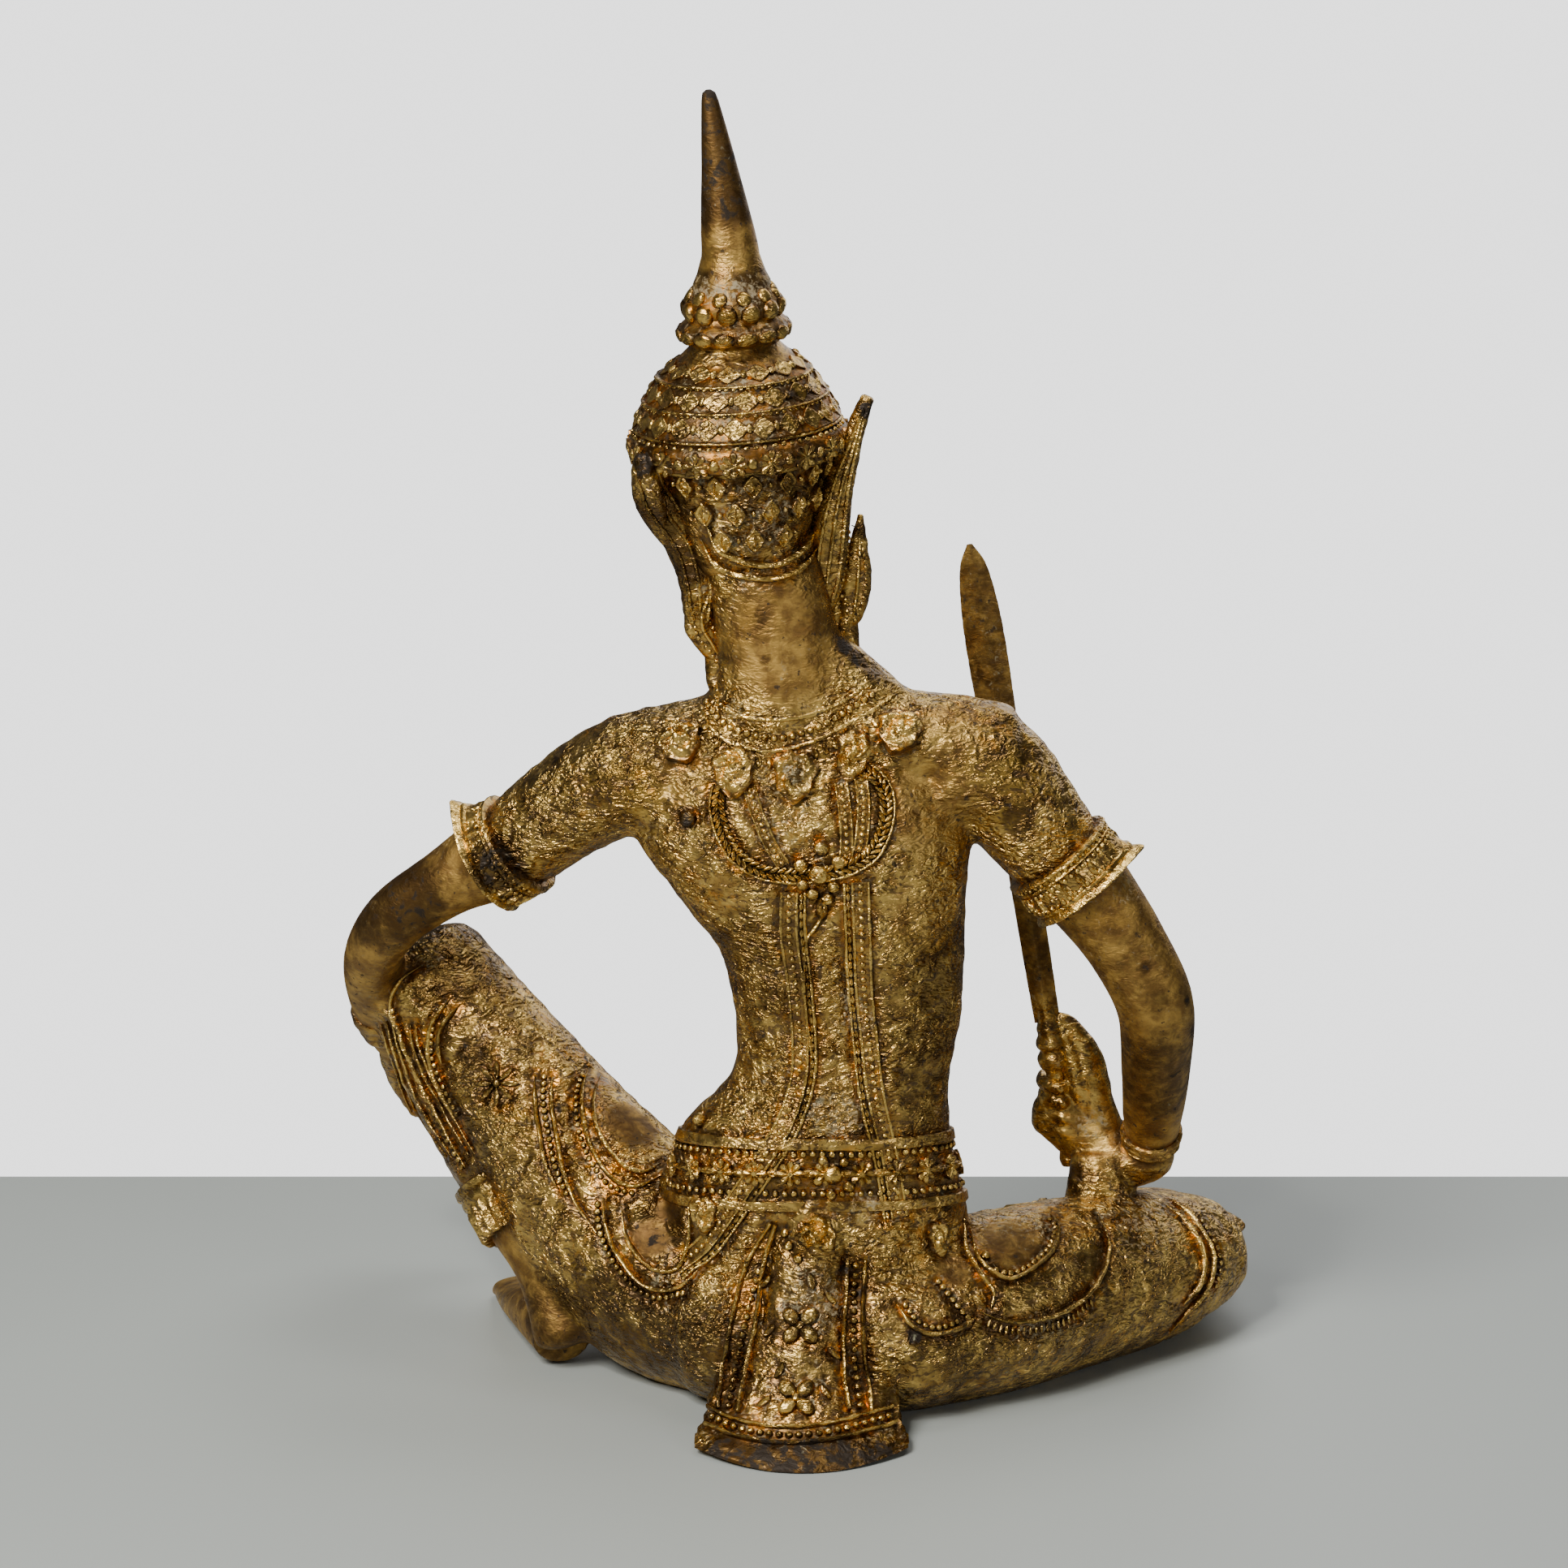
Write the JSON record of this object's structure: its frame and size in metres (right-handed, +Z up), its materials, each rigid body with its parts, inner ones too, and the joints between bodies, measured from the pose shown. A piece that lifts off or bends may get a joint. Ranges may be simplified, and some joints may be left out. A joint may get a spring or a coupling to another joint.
{
  "type": "temple guardian statue",
  "caption": "Seated gilt bronze guardian in a tall pointed crown, one knee raised with an arm over it, a sword upright in the other hand and a long tail of cloth behind.",
  "frame": {"origin": "middle of the figure's seat, on the plane that it rests on", "axes": "+Z up; the figure looks along -Y; its left side is +X; the tail of cloth hangs towards +Y"},
  "size_m": [0.542, 0.3546, 0.7494],
  "materials": {
    "gilt_bronze": "worn gold leaf over dark lacquered bronze",
    "dark_bronze": "dark olive bronze, satin, gilt towards the grip"
  },
  "bodies": {
    "root": {"figure": "gilt_bronze", "sword": "dark_bronze"}
  },
  "joints": []
}
